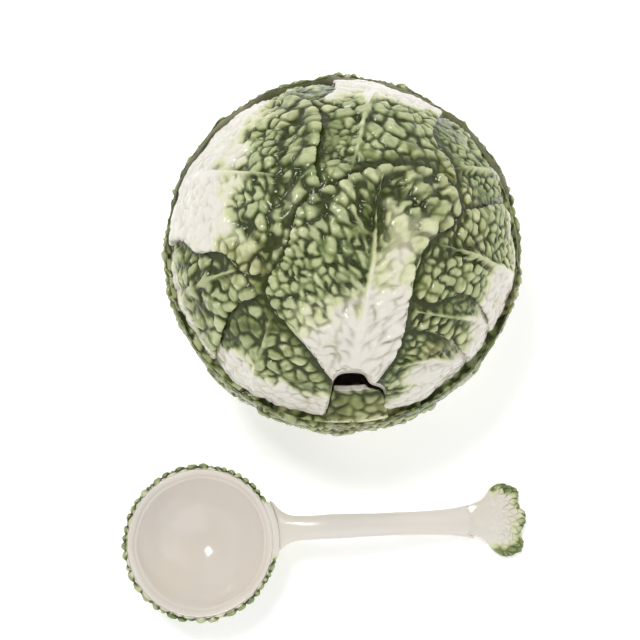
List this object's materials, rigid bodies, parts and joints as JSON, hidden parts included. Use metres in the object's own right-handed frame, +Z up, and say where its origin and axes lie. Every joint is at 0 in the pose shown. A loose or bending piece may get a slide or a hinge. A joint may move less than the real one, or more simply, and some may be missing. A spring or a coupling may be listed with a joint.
{
  "type": "soup tureen",
  "caption": "Cabbage-shaped soup tureen: footed bowl wrapped in savoy leaves, domed leaf lid with a ladle notch in its rim, and a matching ladle.",
  "frame": {"origin": "centre of the foot ring's underside, on the tureen's own axis", "axes": "+Z up, -Y towards the ladle notch and the ladle, +X to the right of someone facing the notch"},
  "size_m": [0.3177, 0.4105, 0.2179],
  "materials": {
    "green_glaze": "hand-painted green and cream glaze, high gloss",
    "white_glaze": "cream white glaze, high gloss"
  },
  "bodies": {
    "bowl": {"bowl_shell": "white_glaze", "foot_ring": "white_glaze", "bowl_leaf_front": "green_glaze", "bowl_leaf_right": "green_glaze", "bowl_leaf_back": "green_glaze", "bowl_leaf_left": "green_glaze", "bowl_leaf_front_right": "green_glaze", "bowl_leaf_back_right": "green_glaze", "bowl_leaf_back_left": "green_glaze", "bowl_leaf_front_left": "green_glaze"},
    "lid": {"lid_shell": "white_glaze", "lid_locating_ring": "white_glaze", "lid_leaf_front": "green_glaze", "lid_leaf_left": "green_glaze", "lid_leaf_crown": "green_glaze", "lid_leaf_lower_left": "green_glaze", "lid_leaf_right": "green_glaze", "lid_leaf_front_left": "green_glaze", "lid_leaf_front_right": "green_glaze", "lid_leaf_rim_right": "green_glaze", "lid_leaf_back_right": "green_glaze", "lid_leaf_back_left": "green_glaze"},
    "ladle": {"ladle_bowl": "white_glaze", "ladle_leaf_cup": "green_glaze", "ladle_handle": "white_glaze", "ladle_leaf_finial": "green_glaze"}
  },
  "joints": [
    {"name": "lid_lift", "type": "slide", "parent": "bowl", "child": "lid", "axis": [0, 0, 1], "range_m": [0, 0.25]},
    {"name": "ladle_lift", "type": "slide", "parent": "bowl", "child": "ladle", "axis": [0, 0, 1], "range_m": [0, 0.25]}
  ]
}
